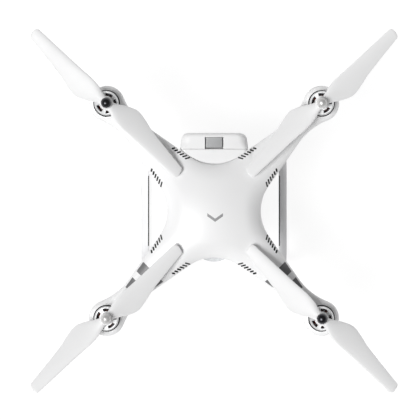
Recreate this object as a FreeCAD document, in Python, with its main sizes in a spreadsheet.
import FreeCAD, Part
import math
import os
import re
import Sketcher
from FreeCAD import Placement, Rotation, Vector

# A 350 mm class quadcopter with a gimballed camera, in millimetres.
# +Z is up, +Y is the tail (battery) end, -Y is the nose and +X is the left side.
# The origin is on the ground, under the middle of the body.

SIZES = {
    # whole aircraft
    "motor_half": 123.75,       # motor axis from the centre planes, 350 mm on the diagonal
    "part_line": 138.0,         # where the two half shells meet
    "wall": 2.5,
    # X-shaped planform
    "waist": 54.0,              # shell edge from the centre, between two arms
    "waist_arc": 50.0,
    "flank_angle": 10.0,        # taper of an arm's straight edge
    "neck_arc": 73.0,
    "pod_radius": 20.6,
    # heights of the shells
    "dome_top": 170.0,
    "arm_top": 147.0,
    "crown_reach": 130.0,
    "belly": 106.0,
    "belly_flat": 36.0,
    "belly_reach": 120.0,
    "arm_bottom": 125.0,
    "edge_round": 6.0,
    # motor pods
    "pod_hole": 15.4,
    "pod_rim": 148.0,
    "pod_foot": 122.0,
    "deck_top": 139.5,
    "deck_thick": 3.5,
    "deck_radius": 14.6,
    # motor
    "base_radius": 13.2,
    "base_thick": 3.0,
    "tube_outer": 5.0,
    "tube_inner": 4.0,
    "tube_height": 15.5,
    "bearing_bore": 2.03,
    "bearing_thick": 3.0,
    "stator_bottom": 144.5,
    "stator_height": 9.0,
    "stator_radius": 10.9,
    "magnet_inner": 11.2,
    "bell_radius": 14.0,
    "bell_inner": 12.5,
    "bell_bottom": 143.5,
    "bell_top": 161.0,
    "window_inner": 8.4,
    "window_outer": 11.8,
    "window_angle": 47.0,
    "shaft_radius": 2.0,
    "shaft_bottom": 140.5,
    "shaft_top": 177.0,
    # propeller
    "prop_radius": 119.0,
    "hub_radius": 7.5,
    "hub_height": 10.0,
    "prop_angle": 44.0,         # rest angle of the blades from the X axis
    "cap_radius": 6.1,
    "cap_height": 10.0,
    # battery and its bay
    "bay_half": 39.2,
    "bay_bottom": 110.6,
    "bay_top": 152.4,
    "bay_wall": 1.6,
    "bay_front": -33.0,
    "bay_rear": 71.0,
    "slide_gap": 0.4,
    "case_front": -28.0,
    "case_wall": 1.5,
    "cap_rear": 89.8,
    "cap_rear_half": 36.9,      # the cap narrows towards the tail
    "cap_corner": 7.5,
    "bay_round": 4.0,
    "seam": 0.3,
    "latch_half": 10.2,
    "latch_length": 13.2,
    "latch_thick": 5.0,
    "latch_well": 8.5,
    "button_radius": 5.5,
    "button_length": 3.0,
    "button_proud": 0.2,
    "button_well": 4.6,
    # landing gear
    "skid_x": 81.6,
    "skid_z": 6.5,
    "leg_y": 62.0,
    "skid_reach": 65.0,         # outermost line of a bent bar, either way from the middle
    "leg_top_x": 76.0,
    "leg_top": 116.5,
    "skid_bend": 27.0,
    "bar_width": 9.3,
    "bar_depth": 8.0,
    "bar_round": 2.4,
    "flange_thick": 3.0,
    "flange_half": 5.0,
    "screw_offset": 9.5,
    # screws
    "screw_shank": 1.25,
    "screw_head": 2.2,
    "head_thick": 1.6,
    "shank_length": 6.4,
    # gimbal and camera
    "gimbal_y": -30.0,
    "plate_radius": 29.0,
    "plate_thick": 2.5,
    "damper_height": 9.0,
    "damper_offset": 17.0,
    "camera_z": 50.0,
    "camera_width": 36.0,
    "camera_depth": 30.0,
    "camera_height": 32.0,
    "gimbal_motor": 12.0,
    "lens_radius": 11.0,
    "gimbal_gap": 0.3,
    "arm_thick": 3.0,
    "arm_round": 5.0,
    "vision_round": 3.0,
    "vision_y": 30.0,
    "vision_height": 7.0,
    "yaw_top": 79.7,
    "yaw_arm_thick": 5.0,
    "column_y": 3.0,
    "roll_face": -5.3,
    # electronics
    "standoff": 2.0,
    "board_thick": 1.6,
    # lamps under the arms
    "lamp_length": 8.0,
    "lamp_width": 14.0,
    "lamp_thick": 1.6,
    "lamp_reach": 150.0,        # along each arm from the centre
}

CORNERS = {
    "rear_left": (1, 1),
    "rear_right": (-1, 1),
    "front_left": (1, -1),
    "front_right": (-1, -1),
}
COUNTER_CLOCKWISE = ("rear_left", "front_right")

UP = Vector(0, 0, 1)
ALONG_X = Rotation(Vector(0, 1, 0), 90)
ALONG_Y = Rotation(Vector(1, 0, 0), -90)
REST = Rotation()

doc = FreeCAD.newDocument("Quadcopter")
sheet = doc.addObject("Spreadsheet::Sheet", "Sizes")
for row, (alias, value) in enumerate(SIZES.items(), 1):
    sheet.set(f"A{row}", alias)
    sheet.set(f"B{row}", str(value))
    sheet.setAlias(f"B{row}", alias)
doc.recompute()

nodes = []


# ---------------------------------------------------------------- helpers

def size(alias):
    return float(sheet.get(alias))


def formula(text):
    """Point the plain words of an expression at the sheet's aliases."""
    return re.sub(r"[a-z_]+", lambda word: "Sizes." + word[0] if word[0] in SIZES else word[0], str(text))


def node(label, item):
    item.Label = label
    nodes.append(item)
    return item


def place(item, x, y, z, rotation=REST):
    item.Placement = Placement(Vector(), rotation)
    for axis, value in zip("xyz", (x, y, z)):
        item.setExpression("Placement.Base." + axis, formula(value))
    return item


def cylinder(name, radius, height, x=0, y=0, z=0, rotation=REST):
    solid = doc.addObject("Part::Cylinder", name)
    solid.setExpression("Radius", formula(radius))
    solid.setExpression("Height", formula(height))
    return place(solid, x, y, z, rotation)


def block(name, length, width, height, x=0, y=0, z=0):
    """A box centred on x and y that stands on z."""
    solid = doc.addObject("Part::Box", name)
    solid.setExpression("Length", formula(length))
    solid.setExpression("Width", formula(width))
    solid.setExpression("Height", formula(height))
    return place(solid, f"{x} - ({length}) / 2", f"{y} - ({width}) / 2", z)


def cut(name, base, *tools):
    result = doc.addObject("Part::Cut", name)
    result.Base = base
    result.Tool = tools[0] if len(tools) == 1 else fuse(name + "_cutters", *tools)
    return result


def fuse(name, *shapes):
    result = doc.addObject("Part::MultiFuse", name)
    result.Shapes = list(shapes)
    return result


def group(name, items):
    result = doc.addObject("Part::Compound", name)
    result.Links = list(items)
    return result


def feature(name, shape):
    """A piece whose shape is worked out in code from the sheet."""
    item = doc.addObject("Part::Feature", name)
    item.Shape = shape
    item.Placement = Placement()
    return item


def chosen_edges(shape, test):
    return [f"Edge{i}" for i, edge in enumerate(shape.Edges, 1) if test(edge)]


def rounded(name, base, radius, test):
    """Part::Fillet on the edges of base that pass the test."""
    doc.recompute()
    result = doc.addObject("Part::Fillet", name)
    result.Base = base
    numbers = [i for i, edge in enumerate(base.Shape.Edges, 1) if test(edge)]
    result.Edges = [(i, size(radius), size(radius)) for i in numbers]
    return result


def new_body(name):
    return doc.addObject("PartDesign::Body", name)


def sketch_on(body, name, role, offset=0):
    sketch = body.newObject("Sketcher::SketchObject", name)
    plane = next(item for item in body.Origin.OriginFeatures if item.Role == role)
    sketch.AttachmentSupport = [(plane, "")]
    sketch.MapMode = "FlatFace"
    if offset:
        sketch.setExpression("AttachmentOffset.Base.z", formula(offset))
    return sketch


def circle_in(sketch, radius, x=0, y=0):
    index = sketch.addGeometry(Part.Circle(Vector(1, 1, 0), UP, 1))
    add_limit(sketch, "Radius", (index,), radius)
    add_limit(sketch, "DistanceX", (-1, 1, index, 3), x)
    add_limit(sketch, "DistanceY", (-1, 1, index, 3), y)


def add_limit(sketch, kind, where, value, start=1.0):
    """A dimension of a sketch, held to a formula of the sheet."""
    number = sketch.addConstraint(Sketcher.Constraint(kind, *where, start))
    sketch.setExpression(f"Constraints[{number}]", formula(value))


def rectangle_in(sketch, left, right, low, high):
    """An upright rectangle between two x and two y formulas."""
    corners = [Vector(0, 0), Vector(1, 0), Vector(1, 1), Vector(0, 1)]
    first = sketch.GeometryCount
    for start, end in zip(corners, corners[1:] + corners[:1]):
        sketch.addGeometry(Part.LineSegment(start, end))
    for i in range(4):
        sketch.addConstraint(Sketcher.Constraint("Coincident", first + i, 2, first + (i + 1) % 4, 1))
        kind = "Horizontal" if i % 2 == 0 else "Vertical"
        sketch.addConstraint(Sketcher.Constraint(kind, first + i))
    add_limit(sketch, "DistanceX", (-1, 1, first, 1), left)
    add_limit(sketch, "DistanceX", (-1, 1, first + 2, 1), right)
    add_limit(sketch, "DistanceY", (-1, 1, first, 1), low)
    add_limit(sketch, "DistanceY", (-1, 1, first + 2, 1), high)


def outline_in(sketch, points):
    """A closed polygon whose corners are (x, y) formulas."""
    first = sketch.GeometryCount
    spread = [Vector(math.cos(i), math.sin(i)) for i in range(len(points))]
    for start, end in zip(spread, spread[1:] + spread[:1]):
        sketch.addGeometry(Part.LineSegment(start, end))
    for i, (x, y) in enumerate(points):
        following = first + (i + 1) % len(points)
        sketch.addConstraint(Sketcher.Constraint("Coincident", first + i, 2, following, 1))
        add_limit(sketch, "DistanceX", (-1, 1, first + i, 1), x)
        add_limit(sketch, "DistanceY", (-1, 1, first + i, 1), y)


def pad(body, sketch, length, name):
    result = body.newObject("PartDesign::Pad", name)
    result.Profile = sketch
    result.setExpression("Length", formula(length))
    return result


def pocket_up(body, sketch, length, name):
    """A pocket that cuts from its sketch towards +Z."""
    result = body.newObject("PartDesign::Pocket", name)
    result.Profile = sketch
    result.Reversed = True
    result.setExpression("Length", formula(length))
    return result


def turned(body, sketch, name):
    """A revolution of an XZ profile about the body's Z axis."""
    result = body.newObject("PartDesign::Revolution", name)
    result.Profile = sketch
    result.ReferenceAxis = (sketch, ["V_Axis"])
    result.Angle = 360
    return result


def ring_of(body, original, count, name):
    """A polar pattern of one feature about the body's Z axis."""
    result = body.newObject("PartDesign::PolarPattern", name)
    result.Originals = [original]
    axis = next(item for item in body.Origin.OriginFeatures if item.Role == "Z_Axis")
    result.Axis = (axis, [""])
    result.Angle = 360
    result.Occurrences = count
    body.Tip = result
    return result


# ---------------------------------------------------------------- the shells

def arm_edge(inset):
    """Tangent points of one arm's edge, as (along the arm, across it), inset from the outside."""
    taper = math.radians(size("flank_angle"))
    along = Vector(math.cos(taper), -math.sin(taper), 0)
    outward = Vector(math.sin(taper), math.cos(taper), 0)
    reach = (size("waist") + size("waist_arc")) / math.sqrt(2)
    waist_centre = Vector(reach, reach, 0)
    pod_centre = Vector(size("motor_half") * math.sqrt(2), 0, 0)
    start = waist_centre + outward * (size("neck_arc") - size("waist_arc"))
    gap = start - pod_centre
    centres = size("neck_arc") + size("pod_radius")
    half_b = gap.dot(along)
    slide = -half_b - math.sqrt(half_b ** 2 - gap.dot(gap) + centres ** 2)
    neck_centre = start + along * slide
    to_pod = (pod_centre - neck_centre).normalize()
    neck = size("neck_arc") + inset
    flank_start = waist_centre - outward * (size("waist_arc") + inset)
    flank_end = neck_centre - outward * neck
    neck_middle = neck_centre + (to_pod - outward).normalize() * neck
    neck_end = neck_centre + to_pod * neck
    return flank_start, flank_end, neck_middle, neck_end


def planform(inset, height):
    """The closed outline of the X-shaped body at a height."""
    edges = []
    pod_tip = Vector(size("motor_half") * math.sqrt(2) + size("pod_radius") - inset, 0, 0)
    waist_point = Vector(size("waist") - inset, 0, 0)
    left = arm_edge(inset)
    right = [Vector(point.x, -point.y, 0) for point in left]
    for quarter in range(4):
        arm = Rotation(UP, 45 + 90 * quarter)
        gap = Rotation(UP, 90 + 90 * quarter)
        next_arm = Rotation(UP, 135 + 90 * quarter)
        lift = Vector(0, 0, height)
        near = [arm.multVec(point) + lift for point in right]
        far = [arm.multVec(point) + lift for point in left]
        edges.append(Part.makeLine(near[0], near[1]))
        edges.append(Part.Arc(near[1], near[2], near[3]).toShape())
        edges.append(Part.Arc(near[3], arm.multVec(pod_tip) + lift, far[3]).toShape())
        edges.append(Part.Arc(far[3], far[2], far[1]).toShape())
        edges.append(Part.makeLine(far[1], far[0]))
        across = next_arm.multVec(right[0]) + lift
        edges.append(Part.Arc(far[0], gap.multVec(waist_point) + lift, across).toShape())
    return Part.Wire(edges)


def crown_height(radius):
    share = min(radius / size("crown_reach"), 1)
    rise = size("dome_top") - size("arm_top")
    return size("arm_top") + rise * math.cos(math.pi / 2 * share) ** 2


def belly_height(radius):
    share = (radius - size("belly_flat")) / (size("belly_reach") - size("belly_flat"))
    share = min(max(share, 0), 1)
    rise = size("arm_bottom") - size("belly")
    return size("belly") + rise * math.sin(math.pi / 2 * share) ** 2


def turned_solid(curve_start, curve_end, height_at, drop, level):
    """The solid between a flat level and a surface of revolution."""
    step_count = 8
    span = curve_end - curve_start
    radii = [curve_start + span * i / step_count for i in range(step_count + 1)]
    points = [Vector(radius, 0, height_at(radius) + drop) for radius in radii]
    curve = Part.BSplineCurve()
    curve.interpolate(points, InitialTangent=Vector(1, 0, 0), FinalTangent=Vector(1, 0, 0))
    far = size("motor_half") * 2
    corners = [points[-1], Vector(far, 0, points[-1].z), Vector(far, 0, level), Vector(0, 0, level)]
    corners.append(Vector(0, 0, points[0].z))
    if curve_start > 0:
        corners.append(points[0])
    lines = [Part.makeLine(a, b) for a, b in zip(corners, corners[1:])]
    face = Part.Face(Part.Wire([curve.toShape()] + lines))
    return face.revolve(Vector(), UP, 360)


def upper_block(inset):
    """The solid that the upper shell's outside, or its cavity, fills."""
    base = size("part_line")
    prism = Part.Face(planform(inset, base)).extrude(UP * size("dome_top"))
    crown = turned_solid(0, size("crown_reach"), crown_height, -inset, base)
    return prism.common(crown)


def lower_block(inset):
    base = size("part_line")
    prism = Part.Face(planform(inset, base)).extrude(UP * -size("part_line"))
    belly = turned_solid(size("belly_flat"), size("belly_reach"), belly_height, inset, base)
    return prism.common(belly)


def soften(solid, radius, level):
    """Round every edge of a block that doesn't lie on the parting level."""
    edges = [edge for edge in solid.Edges if abs(edge.CenterOfMass.z - level) > 1 and is_rim(edge, level)]
    return solid.makeFillet(radius, edges)


def is_rim(edge, level):
    return all(abs(vertex.Z - level) > 1 for vertex in edge.Vertexes)


def at_motors(shape):
    """The same shape at each of the four motor axes."""
    half = size("motor_half")
    copies = []
    for sx, sy in CORNERS.values():
        copy = shape.copy()
        copy.translate(Vector(sx * half, sy * half, 0))
        copies.append(copy)
    return copies


def tube(outer, inner, bottom, top):
    wall = Part.makeCylinder(outer, top - bottom, Vector(0, 0, bottom))
    return wall.cut(Part.makeCylinder(inner, top - bottom, Vector(0, 0, bottom)))


def bay_space():
    """The room that the battery bay takes out of both shells."""
    clear = 0.05
    low = Vector(-size("bay_half") - clear, size("bay_front") - clear, size("bay_bottom") - clear)
    width = 2 * (size("bay_half") + clear)
    length = size("cap_rear") - size("bay_front") + 2 * clear
    height = size("bay_top") - size("bay_bottom") + 2 * clear
    room = Part.makeBox(width, length, height, low)
    return room.makeFillet(size("bay_round") + clear, [edge for edge in room.Edges if runs_lengthwise(edge)])


def rounded_slot(width, length, depth):
    """A round-ended prism that stands on z = 0, its long side along Y."""
    half = width / 2
    reach = length / 2 - half
    bar = Part.makeBox(width, 2 * reach, depth, Vector(-half, -reach, 0))
    ends = [Part.makeCylinder(half, depth, Vector(0, side * reach, 0)) for side in (-1, 1)]
    return bar.fuse(ends).removeSplitter()


def vent_slots():
    """Six cooling slots on each edge of each arm's root, shrinking outwards."""
    count = 6
    first = Vector(64.5, 21.4, size("part_line") + 2.5)
    spacing = Vector(3.9, -0.72, 0)
    slots = []
    for i in range(count):
        length = 6.5 - 0.45 * i
        width = 1.6 + 0.08 * i
        slot = rounded_slot(width, length, 2 * size("wall") + 20)
        slot.rotate(Vector(), UP, 30)
        slot.translate(first + spacing * i)
        for mirrored in (slot, slot.mirror(Vector(), Vector(0, 1, 0))):
            for quarter in range(4):
                turned_slot = mirrored.copy()
                turned_slot.rotate(Vector(), UP, 45 + 90 * quarter)
                slots.append(turned_slot)
    return slots


def upper_shell():
    wall = size("wall")
    shell = soften(upper_block(0), size("edge_round"), size("part_line")).cut(upper_block(wall))
    collar = tube(size("pod_hole") + 1.6, size("pod_hole"), size("part_line"), size("arm_top"))
    rim = tube(size("pod_radius") - 2.2, size("pod_hole"), size("arm_top") - 1, size("pod_rim"))
    hole = Part.makeCylinder(size("pod_hole"), 60, Vector(0, 0, size("part_line")))
    shell = shell.fuse(at_motors(collar) + at_motors(rim))
    shell = shell.cut(at_motors(hole) + [bay_space()] + vent_slots())
    node("upper_shell", feature("upper_shell", largest(shell)))


def largest(shape):
    """The one solid that matters, without crumbs left by a cut."""
    return max(shape.Solids, key=lambda solid: solid.Volume)


def lower_shell():
    wall = size("wall")
    shell = soften(lower_block(0), size("edge_round") - 1, size("part_line")).cut(lower_block(wall))
    deck_bottom = size("deck_top") - size("deck_thick")
    deck = Part.makeCylinder(size("deck_radius"), size("deck_thick"), Vector(0, 0, deck_bottom))
    post = tube(size("deck_radius"), size("deck_radius") - 2, size("arm_bottom"), deck_bottom)
    foot = Part.makeCylinder(size("pod_radius") - 2.6, 4, Vector(0, 0, size("pod_foot")))
    shell = shell.fuse(at_motors(deck) + at_motors(post) + at_motors(foot) + leg_bosses())
    holes = at_motors(screw_holes(size("deck_top") - 6, 8)) + leg_screw_holes()
    node("lower_shell", feature("lower_shell", largest(shell.cut([bay_space()] + holes))))


# ---------------------------------------------------------------- screws

def screw_holes(bottom, length):
    """Four holes under one motor."""
    holes = []
    for quarter in range(4):
        hole = Part.makeCylinder(size("screw_shank"), length, Vector(size("screw_offset"), 0, bottom))
        hole.rotate(Vector(), UP, 90 * quarter)
        holes.append(hole)
    return Part.makeCompound(holes)


def leg_screw_points():
    """Two screws on each landing gear leg, in line with the arm."""
    step = size("screw_offset") / math.sqrt(2)
    points = []
    for sx, sy in CORNERS.values():
        centre = Vector(sx * size("leg_top_x"), sy * size("leg_y"), 0)
        for side in (1, -1):
            points.append(centre + Vector(side * sx * step, side * sy * step, 0))
    return points


def leg_screw_holes():
    bottom = size("leg_top") - size("flange_thick")
    spots = [point + Vector(0, 0, bottom) for point in leg_screw_points()]
    return [Part.makeCylinder(size("screw_shank"), size("shank_length"), spot) for spot in spots]


def screw_at(point):
    """A pan head screw whose shank rises from a seat."""
    head = Part.makeCylinder(size("screw_head"), size("head_thick"), point - UP * size("head_thick"))
    return head.fuse(Part.makeCylinder(size("screw_shank"), size("shank_length"), point))


def case_screws():
    motor_seat = size("deck_top") - size("deck_thick")
    leg_seat = size("leg_top") - size("flange_thick")
    ring = [Rotation(UP, 90 * i).multVec(Vector(size("screw_offset"), 0, motor_seat)) for i in range(4)]
    screws = at_motors(Part.makeCompound([screw_at(point) for point in ring]))
    screws += [screw_at(point + UP * leg_seat) for point in leg_screw_points()]
    node("case_screws", feature("case_screws", Part.makeCompound(screws)))


# ---------------------------------------------------------------- motors

def motor_base(corner, x, y):
    name = "motor_base_" + corner
    plate = cylinder(name + "_plate", "base_radius", "base_thick", x, y, "deck_top")
    tower = cylinder(name + "_tube", "tube_outer", "tube_height", x, y, "deck_top")
    bore = cylinder(name + "_bore", "tube_inner", "tube_height", x, y, "deck_top + base_thick")
    hole = cylinder(name + "_hole", "shaft_radius + 0.6", "base_thick", x, y, "deck_top")
    screws = feature(name + "_screws", screw_holes(size("deck_top"), size("base_thick") - 0.1))
    place(screws, x, y, 0)
    node(name, cut(name, fuse(name + "_body", plate, tower), bore, hole, screws))


def motor_bearings():
    """Two ball bearings in each bearing tube, as closed rings."""
    rings = []
    levels = {"low": "deck_top + base_thick", "high": "deck_top + tube_height - bearing_thick"}
    for corner, (sx, sy) in CORNERS.items():
        x = f"{sx} * motor_half"
        y = f"{sy} * motor_half"
        for level, z in levels.items():
            name = f"bearing_{corner}_{level}"
            race = cylinder(name + "_race", "tube_inner", "bearing_thick", x, y, z)
            bore = cylinder(name + "_bore", "bearing_bore", "bearing_thick", x, y, z)
            rings.append(cut(name, race, bore))
    node("motor_bearings", group("motor_bearings", rings))


def stator(corner, x, y):
    """A twelve-slot laminated core round the bearing tube."""
    name = "stator_" + corner
    teeth = 12
    body = new_body(name)
    hub_sketch = sketch_on(body, name + "_hub_sketch", "XY_Plane", "stator_bottom")
    circle_in(hub_sketch, "tube_outer + 0.02")
    circle_in(hub_sketch, "tube_outer + 1.4")
    pad(body, hub_sketch, "stator_height", name + "_hub")
    tooth_sketch = sketch_on(body, name + "_tooth_sketch", "XY_Plane", "stator_bottom + 1")
    rectangle_in(tooth_sketch, "tube_outer + 1.2", "stator_radius - 0.7", -0.6, 0.6)
    tooth = pad(body, tooth_sketch, "stator_height - 2", name + "_tooth")
    ring_of(body, tooth, teeth, name + "_teeth")
    shoe_sketch = sketch_on(body, name + "_shoe_sketch", "XY_Plane", "stator_bottom")
    circle_in(shoe_sketch, "stator_radius")
    circle_in(shoe_sketch, "stator_radius - 0.9")
    pad(body, shoe_sketch, "stator_height", name + "_shoe")
    slot_sketch = sketch_on(body, name + "_slot_sketch", "XY_Plane", "stator_bottom")
    slot_sketch.AttachmentOffset.Rotation = Rotation(UP, 180 / teeth)
    rectangle_in(slot_sketch, "stator_radius - 1.2", "stator_radius + 0.4", -0.7, 0.7)
    slot = pocket_up(body, slot_sketch, "stator_height", name + "_slot")
    ring_of(body, slot, teeth, name + "_slots")
    node(name, place(body, x, y, 0))


def motor_windings():
    """A copper coil round every stator tooth."""
    inner = size("tube_outer") + 1.6
    radial = size("stator_radius") - 1.1 - inner
    width = 3.0
    height = size("stator_height") - 0.6
    coil = Part.makeBox(radial, width, height, Vector(inner, -width / 2, size("stator_bottom") + 0.3))
    tooth_room = Part.makeBox(radial, 1.24, height - 1.36, Vector(inner, -0.62, size("stator_bottom") + 0.98))
    coil = coil.cut(tooth_room)
    ring = []
    for i in range(12):
        turned_coil = coil.copy()
        turned_coil.rotate(Vector(), UP, 30 * i)
        ring.append(turned_coil)
    coils = at_motors(Part.makeCompound(ring))
    node("motor_windings", feature("motor_windings", Part.makeCompound(coils)))


def rotor_magnet(corner, x, y):
    name = "rotor_magnet_" + corner
    ring = cylinder(name + "_ring", "bell_inner", "stator_height - 0.5", x, y, "stator_bottom + 0.5")
    room = cylinder(name + "_room", "magnet_inner", "stator_height - 0.5", x, y, "stator_bottom + 0.5")
    node(name, cut(name, ring, room))


def sector_in(sketch, inner, outer, half_angle):
    """A ring sector about the sketch's origin, centred on its X axis."""
    turn = math.radians(half_angle)
    ends = [Vector(math.cos(side * turn), math.sin(side * turn), 0) for side in (-1, 1)]
    near, far = size(inner), size(outer)
    big = sketch.addGeometry(Part.ArcOfCircle(Part.Circle(Vector(), UP, far), -turn, turn))
    small = sketch.addGeometry(Part.ArcOfCircle(Part.Circle(Vector(), UP, near), -turn, turn))
    low = sketch.addGeometry(Part.LineSegment(ends[0] * near, ends[0] * far))
    high = sketch.addGeometry(Part.LineSegment(ends[1] * near, ends[1] * far))
    for arc in (big, small):
        sketch.addConstraint(Sketcher.Constraint("Coincident", arc, 3, -1, 1))
    for arc, end in ((small, 1), (big, 2)):
        sketch.addConstraint(Sketcher.Constraint("Coincident", low, end, arc, 1))
        sketch.addConstraint(Sketcher.Constraint("Coincident", high, end, arc, 2))
    for end, radius in ((1, inner), (2, outer)):
        across, up = size(radius) * math.cos(turn), size(radius) * math.sin(turn)
        add_limit(sketch, "DistanceX", (-1, 1, low, end), f"{radius} * {math.cos(turn):.6f}", across)
        add_limit(sketch, "DistanceY", (-1, 1, low, end), f"-{radius} * {math.sin(turn):.6f}", -up)
        add_limit(sketch, "DistanceY", (-1, 1, high, end), f"{radius} * {math.sin(turn):.6f}", up)


def motor_bell(corner, x, y):
    """The outer rotor: a cup with five windows in its crown."""
    name = "motor_bell_" + corner
    body = new_body(name)
    profile = sketch_on(body, name + "_profile", "XZ_Plane")
    outline_in(profile, [
        ("shaft_radius", "bell_top - 5.4"),
        ("shaft_radius + 2.2", "bell_top - 5.4"),
        ("shaft_radius + 2.2", "bell_top - 2.5"),
        ("bell_inner", "bell_top - 2.5"),
        ("bell_inner", "bell_bottom"),
        ("bell_radius", "bell_bottom"),
        ("bell_radius", "bell_top - 1.2"),
        ("bell_radius - 1.2", "bell_top"),
        ("shaft_radius", "bell_top"),
    ])
    turned(body, profile, name + "_cup")
    window_sketch = sketch_on(body, name + "_window_sketch", "XY_Plane", "bell_top - 3")
    sector_in(window_sketch, "window_inner", "window_outer", size("window_angle") / 2)
    window = pocket_up(body, window_sketch, "4", name + "_window")
    ring_of(body, window, 5, name + "_windows")
    phase = 17 if corner in COUNTER_CLOCKWISE else 0.5
    node(name, place(body, x, y, 0, Rotation(UP, phase)))


def motor_shaft(corner, x, y):
    name = "motor_shaft_" + corner
    node(name, cylinder(name, "shaft_radius", "shaft_top - shaft_bottom", x, y, "shaft_bottom"))


# ---------------------------------------------------------------- propellers

# radius, leading edge, trailing edge, twist in degrees, thickness
BLADE_STATIONS = [
    (5.0, 4.0, 5.5, 8.0, 5.0),
    (11.0, 6.3, 7.8, 14.0, 4.2),
    (20.0, 8.2, 13.5, 22.0, 3.4),
    (33.0, 9.0, 18.0, 24.0, 2.8),
    (45.0, 8.3, 16.2, 21.0, 2.5),
    (60.0, 8.0, 12.9, 17.0, 2.2),
    (90.0, 7.5, 9.3, 12.0, 1.8),
    (114.0, 7.0, 6.3, 10.0, 1.4),
    (118.6, 3.4, 3.6, 9.5, 1.0),
]


def blade_section(radius, lead, trail, twist, thickness):
    """A cambered section of the blade, square to its length."""
    slope = math.tan(math.radians(twist))
    middle = (lead - trail) / 2
    front = Vector(radius, lead, lead * slope)
    back = Vector(radius, -trail, -trail * slope)
    top = Part.Arc(front, Vector(radius, middle, middle * slope + 0.65 * thickness), back)
    bottom = Part.Arc(back, Vector(radius, middle, middle * slope - 0.35 * thickness), front)
    return Part.Wire([top.toShape(), bottom.toShape()])


def propeller_shape():
    """A two-blade propeller that turns counter-clockwise, hub centred on the origin."""
    scale = size("prop_radius") / 119.0
    sections = [blade_section(row[0] * scale, *row[1:]) for row in BLADE_STATIONS]
    blade = Part.makeLoft(sections, True, False)
    other = blade.copy()
    other.rotate(Vector(), UP, 180)
    bottom = Vector(0, 0, -size("hub_height") / 2)
    hub = Part.makeCylinder(size("hub_radius"), size("hub_height"), bottom)
    hub = hub.makeFillet(1.2, [edge for edge in hub.Edges if len(edge.Vertexes) == 1])
    bore = Part.makeCylinder(size("shaft_radius"), size("hub_height"), bottom)
    return hub.fuse([blade, other]).cut(bore)


def propeller(corner, x, y):
    shape = propeller_shape()
    sx, sy = CORNERS[corner]
    if corner not in COUNTER_CLOCKWISE:
        shape = shape.mirror(Vector(), Vector(0, 1, 0))
    name = "propeller_" + corner
    rest_turn = Rotation(UP, size("prop_angle") * sx * sy)
    node(name, place(feature(name, shape), x, y, "bell_top + hub_height / 2", rest_turn))


def propeller_cap(corner, x, y):
    """A domed nut that holds the propeller."""
    name = "propeller_cap_" + corner
    skirt = "cap_height - cap_radius"
    barrel = cylinder(name + "_skirt", "cap_radius", skirt, x, y, "bell_top + hub_height")
    dome = doc.addObject("Part::Sphere", name + "_dome")
    dome.setExpression("Radius", formula("cap_radius"))
    dome.Angle1 = 0
    place(dome, x, y, f"bell_top + hub_height + {skirt}")
    bore = cylinder(name + "_bore", "shaft_radius", "shaft_top - bell_top - hub_height + 0.2", x, y,
                    "bell_top + hub_height")
    node(name, cut(name, fuse(name + "_nut", barrel, dome), bore))


def motors():
    for corner, (sx, sy) in CORNERS.items():
        x = f"{sx} * motor_half"
        y = f"{sy} * motor_half"
        for make in (motor_base, stator, rotor_magnet, motor_bell, motor_shaft, propeller, propeller_cap):
            make(corner, x, y)
    motor_windings()
    motor_bearings()


# ---------------------------------------------------------------- battery

def battery_bay():
    length = "bay_rear - bay_front"
    middle = "(bay_rear + bay_front) / 2"
    height = "bay_top - bay_bottom"
    sharp = block("bay_outer", "2 * bay_half", length, height, 0, middle, "bay_bottom")
    outer = rounded("bay_rounded", sharp, "bay_round", runs_lengthwise)
    room = block("bay_room", "2 * (bay_half - bay_wall)", length, f"{height} - 2 * bay_wall", 0,
                 f"{middle} + bay_wall", "bay_bottom + bay_wall")
    posts = []
    for i, (sx, sy) in enumerate(CORNERS.values()):
        posts.append(cylinder(f"standoff_{i}", 2.5, "standoff", sx * 30, sy * 20, "bay_top"))
    node("battery_bay", fuse("battery_bay", cut("bay_tube", outer, room), *posts))


def battery_case():
    width = "2 * (bay_half - bay_wall - slide_gap)"
    bottom = "bay_bottom + bay_wall + slide_gap"
    height = "bay_top - bay_bottom - 2 * (bay_wall + slide_gap)"
    rear = "bay_rear + seam"
    length = f"{rear} - case_front"
    middle = f"({rear} + case_front) / 2"
    outer = block("case_outer", width, length, height, 0, middle, bottom)
    room = block("case_room", f"{width} - 2 * case_wall", f"{length} - 2 * case_wall",
                 f"{height} - 2 * case_wall", 0, middle, f"{bottom} + case_wall")
    node("battery_case", cut("battery_case", outer, room))


def battery_cells():
    """Four pouch cells, one on another."""
    cells = []
    for i in range(4):
        floor = "bay_bottom + bay_wall + slide_gap + case_wall"
        cells.append(block(f"cell_{i}", 70, 84, 8.4, 0, 16, f"{floor} + {0.2 + 8.6 * i}"))
    node("battery_cells", group("battery_cells", cells))


def is_upright(edge):
    ends = edge.Vertexes
    return len(ends) == 2 and abs(ends[0].Z - ends[1].Z) > 1 and abs(ends[0].Y - ends[1].Y) < 0.01


def runs_lengthwise(edge):
    ends = edge.Vertexes
    return abs(ends[0].Y - ends[-1].Y) > 1


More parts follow.
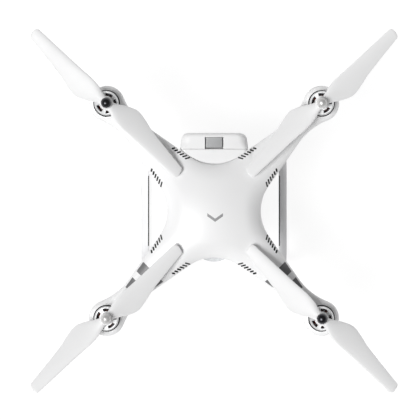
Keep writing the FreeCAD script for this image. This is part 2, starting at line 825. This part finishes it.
def end_cap_body():
    """The rounded tail block of the battery, before its pockets are cut."""
    body = new_body("end_cap_block")
    sketch = sketch_on(body, "end_cap_sketch", "XY_Plane", "bay_bottom")
    front = "bay_rear + seam"
    rear = "cap_rear"
    corners = (("-bay_half", front), ("bay_half", front), ("cap_rear_half", rear), ("-cap_rear_half", rear))
    outline_in(sketch, corners)
    solid = pad(body, sketch, "bay_top - bay_bottom", "end_cap_pad")
    doc.recompute()
    ends = body.newObject("PartDesign::Fillet", "end_cap_ends")
    at_rear = size(rear) - 0.1
    ends.Base = (solid, chosen_edges(solid.Shape, lambda e: is_upright(e) and e.CenterOfMass.y > at_rear))
    ends.setExpression("Radius", formula("cap_corner"))
    doc.recompute()
    behind_seam = size("bay_rear") + size("seam") + 0.1
    levels = (size("bay_bottom"), size("bay_top"))
    rims = body.newObject("PartDesign::Fillet", "end_cap_rims")
    rims.Base = (ends, chosen_edges(ends.Shape, lambda e: e.CenterOfMass.y > behind_seam
                                    and min(abs(e.CenterOfMass.z - level) for level in levels) < 0.01))
    rims.setExpression("Radius", formula("bay_round"))
    return body


def led_ring():
    """Four light segments round the power button."""
    middle = "(bay_bottom + bay_top) / 2"
    outer = cylinder("led_outer", "button_radius + 3.9", 1.5, 0, "cap_rear - 1.5", middle, ALONG_Y)
    inner = cylinder("led_inner", "button_radius + 2.1", 1.5, 0, "cap_rear - 1.5", middle, ALONG_Y)
    upright = block("led_gap_upright", 1.2, 3, 30, 0, "cap_rear", f"{middle} - 15")
    level = block("led_gap_level", 30, 3, 1.2, 0, "cap_rear", f"{middle} - 0.6")
    return node("battery_led_ring", cut("battery_led_ring", outer, inner, upright, level))


def latch(label, side):
    """A ribbed release key. It sits in its well and is squeezed towards the middle of the cap."""
    proud = 0.6
    middle_y = "bay_rear + seam + 0.4 + latch_length / 2"
    bottom = f"bay_top + {proud} - latch_thick" if side > 0 else f"bay_bottom - {proud}"
    key = block(label + "_key", "2 * latch_half", "latch_length", "latch_thick", 0, middle_y, bottom)
    grooves = []
    for i in range(5):
        level = f"bay_top + {proud} - 0.5" if side > 0 else f"bay_bottom - {proud} - 0.5"
        y = f"bay_rear + seam + {2.2 + 2.3 * i}"
        grooves.append(block(f"{label}_groove_{i}", "2 * latch_half - 3", 0.9, 1, 0, y, level))
    return node(label, cut(label, key, *grooves))


def battery_end_cap(ring):
    middle_z = "(bay_bottom + bay_top) / 2"
    well_width = "2 * (latch_half + 0.4)"
    well_length = "latch_length + 0.8"
    well_y = f"bay_rear + seam + ({well_length}) / 2"
    top_well = block("top_well", well_width, well_length, "latch_well", 0, well_y, "bay_top - latch_well")
    low_well = block("low_well", well_width, well_length, "latch_well", 0, well_y, "bay_bottom")
    button_room = cylinder("button_room", "button_radius + 0.3", "button_well + 1", 0, "cap_rear - button_well",
                           middle_z, ALONG_Y)
    node("battery_end_cap", cut("battery_end_cap", end_cap_body(), top_well, low_well, button_room, ring))


def battery_power_button():
    middle_z = "(bay_bottom + bay_top) / 2"
    start = "cap_rear + button_proud - button_length"
    node("battery_power_button", cylinder("battery_power_button", "button_radius", "button_length", 0, start,
                                          middle_z, ALONG_Y))


def power_connector():
    """The contact block on the front wall of the bay."""
    start = "(bay_front + bay_wall)"
    end = "(case_front - 0.5)"
    node("power_connector", block("power_connector", 34, f"{end} - {start}", 12, 0, f"({end} + {start}) / 2",
                                  "bay_bottom + bay_wall + 3"))


def battery():
    battery_bay()
    battery_case()
    battery_cells()
    battery_end_cap(led_ring())
    latch("battery_latch_top", 1)
    latch("battery_latch_bottom", -1)
    battery_power_button()
    power_connector()


# ---------------------------------------------------------------- landing gear

def leg_pad(bottom, height):
    """The slot-shaped pads where the legs meet the arms."""
    half = size("flange_half")
    reach = size("screw_offset")
    pads = []
    for sx, sy in CORNERS.values():
        pad_shape = rounded_slot(2 * half, 2 * (reach + half), height)
        pad_shape.rotate(Vector(), UP, 45 * sx * sy - 90)
        pad_shape.translate(Vector(sx * size("leg_top_x"), sy * size("leg_y"), bottom))
        pads.append(pad_shape)
    return pads


def leg_bosses():
    return leg_pad(size("leg_top"), size("arm_bottom") - size("leg_top") + 0.5)


def hoop(name, side):
    """One bent bar, swept down a leg, along the skid and up the other leg."""
    body = new_body(name)
    top = size("leg_top") + 6
    bend = size("skid_bend")
    leg_start = Vector(size("leg_y"), top, 0)
    centre = Vector(size("skid_reach") - bend, bend, 0)
    to_leg = leg_start - centre
    touch = math.atan2(to_leg.y, to_leg.x) - math.acos(bend / to_leg.Length)
    leg_end = centre + Vector(math.cos(touch), math.sin(touch), 0) * bend
    path = sketch_on(body, name + "_path", "YZ_Plane")
    near_arc = Part.ArcOfCircle(Part.Circle(centre, UP, bend), -math.pi / 2, touch)
    far_circle = Part.Circle(Vector(-centre.x, bend, 0), UP, bend)
    far_arc = Part.ArcOfCircle(far_circle, math.pi - touch, 1.5 * math.pi)
    path.addGeometry(Part.LineSegment(leg_start, leg_end))
    path.addGeometry(near_arc)
    path.addGeometry(Part.LineSegment(Vector(centre.x, 0, 0), Vector(-centre.x, 0, 0)))
    path.addGeometry(far_arc)
    path.addGeometry(Part.LineSegment(Vector(-leg_end.x, leg_end.y, 0), Vector(-leg_start.x, top, 0)))
    section = sketch_on(body, name + "_section", "XY_Plane", top)
    inner = "leg_y - bar_depth / 2"
    outer = "leg_y + bar_depth / 2"
    rectangle_in(section, "-bar_width / 2", "bar_width / 2", inner, outer)
    bar = body.newObject("PartDesign::AdditivePipe", name + "_bar")
    bar.Profile = section
    bar.Spine = (path, [f"Edge{i}" for i in range(1, 6)])
    doc.recompute()
    rounding = body.newObject("PartDesign::Fillet", name + "_rounding")
    rounding.Base = (bar, chosen_edges(bar.Shape, lambda edge: edge.CenterOfMass.z < top - 0.1))
    rounding.setExpression("Radius", formula("bar_round"))
    lean = math.degrees(math.atan2(size("skid_x") - size("leg_top_x"), size("leg_top") - size("skid_z")))
    return place(body, f"{side} * skid_x", 0, "skid_z", Rotation(Vector(0, 1, 0), -side * lean))


def landing_gear(label, side):
    flanges = leg_pad(size("leg_top") - size("flange_thick"), size("flange_thick"))
    mine = [shape for shape in flanges if shape.BoundBox.Center.x * side > 0]
    plates = feature(label + "_flanges", Part.makeCompound([shape.cut(leg_screw_holes()) for shape in mine]))
    above = block(label + "_above", 60, 200, 30, f"{side} * leg_top_x", 0, "leg_top")
    solid = fuse(label + "_solid", hoop(label + "_hoop", side), plates)
    return node(label, cut(label, solid, above))


def skid_pads(gears):
    """Rubber strips under both ends of each skid."""
    strips = []
    for i, (sx, sy) in enumerate(CORNERS.values()):
        strips.append(block(f"pad_strip_{i}", "bar_width - 2.4", 26, 3.4, f"{sx} * skid_x", sy * 20, 0))
    node("skid_pads", cut("skid_pads", group("pad_strips", strips), *gears))


# ---------------------------------------------------------------- gimbal and camera

def gimbal_plates():
    top_z = "belly - plate_thick"
    low_z = "belly - 2 * plate_thick - damper_height"
    for name, z in (("gimbal_top_plate", top_z), ("damping_plate", low_z)):
        node(name, cylinder(name, "plate_radius", "plate_thick", 0, "gimbal_y", z))
    balls = []
    for corner, (sx, sy) in CORNERS.items():
        x = f"{sx} * damper_offset"
        y = f"gimbal_y + {sy} * damper_offset"
        ball = doc.addObject("Part::Sphere", f"ball_{corner}")
        ball.setExpression("Radius", formula("damper_height * 0.58"))
        place(ball, x, y, "belly - plate_thick - damper_height / 2")
        slab = block(f"ball_slab_{corner}", 20, 20, "damper_height", x, y, f"{low_z} + plate_thick")
        common = doc.addObject("Part::Common", f"damper_{corner}")
        common.Base = ball
        common.Tool = slab
        balls.append(common)
    node("damper_balls", group("damper_balls", balls))


def yaw_parts():
    bottom = "yaw_top + gimbal_gap"
    height = f"belly - 2 * plate_thick - damper_height - ({bottom})"
    node("yaw_motor", cylinder("yaw_motor", "gimbal_motor", height, 0, "gimbal_y", bottom))
    arm_z = "yaw_top - yaw_arm_thick"
    turntable = cylinder("yaw_turntable", "gimbal_motor", "yaw_arm_thick", 0, "gimbal_y", arm_z)
    beam_end = "column_y + yaw_arm_thick"
    beam_y = f"({beam_end} + gimbal_y) / 2"
    beam = block("yaw_beam", 12, f"{beam_end} - gimbal_y", "yaw_arm_thick", 0, beam_y, arm_z)
    column = block("yaw_column", 12, "yaw_arm_thick", "yaw_top - camera_z", 0, "column_y + yaw_arm_thick / 2",
                   "camera_z")
    seat = cylinder("yaw_seat", "gimbal_motor", "yaw_arm_thick", 0, "column_y", "camera_z", ALONG_Y)
    node("yaw_arm", fuse("yaw_arm", turntable, beam, column, seat))
    node("roll_motor", cylinder("roll_motor", "gimbal_motor", "column_y - roll_face - gimbal_gap", 0,
                                "roll_face + gimbal_gap", "camera_z", ALONG_Y))


def roll_parts():
    face = "roll_face - arm_thick"
    reach = "camera_width / 2 + 3 + gimbal_gap + 7"
    disc = cylinder("roll_disc", "gimbal_motor - 1", "arm_thick", 0, face, "camera_z", ALONG_Y)
    across = block("roll_across", f"{reach} + arm_thick", "arm_thick", 12, f"({reach} + arm_thick) / 2",
                   f"{face} + arm_thick / 2", "camera_z - 6")
    side = block("roll_side", "arm_thick", "roll_face - gimbal_y", 12, f"{reach} + arm_thick / 2",
                 "(roll_face + gimbal_y) / 2", "camera_z - 6")
    end = cylinder("roll_end", "gimbal_motor - 1", "arm_thick", reach, "gimbal_y", "camera_z", ALONG_X)
    node("roll_arm", fuse("roll_arm", disc, across, side, end))
    node("pitch_motor", cylinder("pitch_motor", "gimbal_motor - 1", 7, f"{reach} - 7", "gimbal_y", "camera_z",
                                 ALONG_X))


def camera():
    shell = block("camera_block", "camera_width", "camera_depth", "camera_height", 0, "gimbal_y",
                  "camera_z - camera_height / 2")
    soft = rounded("camera_soft", shell, "arm_round", lambda edge: True)
    hub = cylinder("camera_hub", 8, 3, "camera_width / 2", "gimbal_y", "camera_z", ALONG_X)
    bezel_y = "gimbal_y - camera_depth / 2 - 2"
    bezel = cylinder("camera_bezel", "lens_radius + 2", 3, 0, bezel_y, "camera_z", ALONG_Y)
    node("camera_body", fuse("camera_body", soft, hub, bezel))
    barrel = cylinder("barrel_outer", "lens_radius", 8, 0, f"{bezel_y} - 8", "camera_z", ALONG_Y)
    inner = "lens_radius - 1.6"
    room = cylinder("barrel_room", inner, 5, 0, f"{bezel_y} - 8", "camera_z", ALONG_Y)
    node("lens_barrel", cut("lens_barrel", barrel, room))
    node("lens_glass", cylinder("lens_glass", inner, 1.5, 0, f"{bezel_y} - 6.5", "camera_z", ALONG_Y))


def vision_sensor():
    """The downward camera and its two sonar cups, behind the gimbal."""
    foot = "belly - vision_height"
    housing = block("vision_block", 34, 22, "vision_height", 0, "vision_y", foot)
    soft = rounded("vision_soft", housing, "vision_round", is_upright)
    cups = []
    for side in (1, -1):
        cups.append(cylinder(f"sonar_cup_{len(cups)}", 4.2, 2, side * 10.5, "vision_y", foot))
    eye = cylinder("vision_eye", 3.2, 2, 0, "vision_y", foot)
    node("vision_sensor", cut("vision_sensor", soft, *cups, eye))


# ---------------------------------------------------------------- electronics and lamps

def electronics():
    floor = "bay_top + standoff"
    board = block("board_plate", 70, 52, "board_thick", 0, 0, floor)
    chips = []
    for i, (x, y) in enumerate(((26, 15), (26, -15), (-26, 15), (-26, -15))):
        chips.append(block(f"board_chip_{i}", 9, 9, 1.4, x, y, f"{floor} + board_thick"))
    node("main_board", fuse("main_board", board, *chips))
    node("gps_module", block("gps_module", 34, 34, 7, 0, 0, f"{floor} + board_thick"))


def arm_led_lenses():
    lenses = []
    for corner, (sx, sy) in CORNERS.items():
        lens = doc.addObject("Part::Box", f"lens_{corner}")
        lens.setExpression("Length", formula("lamp_length"))
        lens.setExpression("Width", formula("lamp_width"))
        lens.setExpression("Height", formula("lamp_thick"))
        turn = Rotation(UP, math.degrees(math.atan2(sy, sx)))
        corner_shift = turn.multVec(Vector(-size("lamp_length") / 2, -size("lamp_width") / 2, 0))
        along = size("lamp_reach") / math.sqrt(2)
        place(lens, sx * along + corner_shift.x, sy * along + corner_shift.y, "arm_bottom - lamp_thick", turn)
        lenses.append(lens)
    node("arm_led_lenses", group("arm_led_lenses", lenses))


# ---------------------------------------------------------------- assembly

def check_model():
    """Stop on any failed object or bad shape."""
    doc.recompute()
    for item in doc.Objects:
        if {"Invalid", "Error"} & set(item.State):
            raise RuntimeError(f"{item.Name} failed: {item.State}")
    for item in nodes:
        if item.Shape.isNull() or not item.Shape.isValid():
            raise RuntimeError(f"{item.Label} has a bad shape")


def write_parts():
    os.makedirs("parts", exist_ok=True)
    for item in nodes:
        item.Shape.exportStep(f"parts/{item.Label}.step")
        bounds = item.Shape.optimalBoundingBox(False)
        corners = [bounds.XMin, bounds.YMin, bounds.ZMin, bounds.XMax, bounds.YMax, bounds.ZMax]
        text = " ".join(f"{value:8.2f}" for value in corners)
        print(f"{item.Label:26s} solids {len(item.Shape.Solids):3d}  volume {item.Shape.Volume:10.1f}")
        print(f"{'':8s}box {text}")


upper_shell()
lower_shell()
case_screws()
motors()
battery()
gears = [landing_gear("landing_gear_left", 1), landing_gear("landing_gear_right", -1)]
skid_pads(gears)
gimbal_plates()
yaw_parts()
roll_parts()
camera()
vision_sensor()
electronics()
arm_led_lenses()
check_model()
write_parts()
print(len(nodes), "nodes")
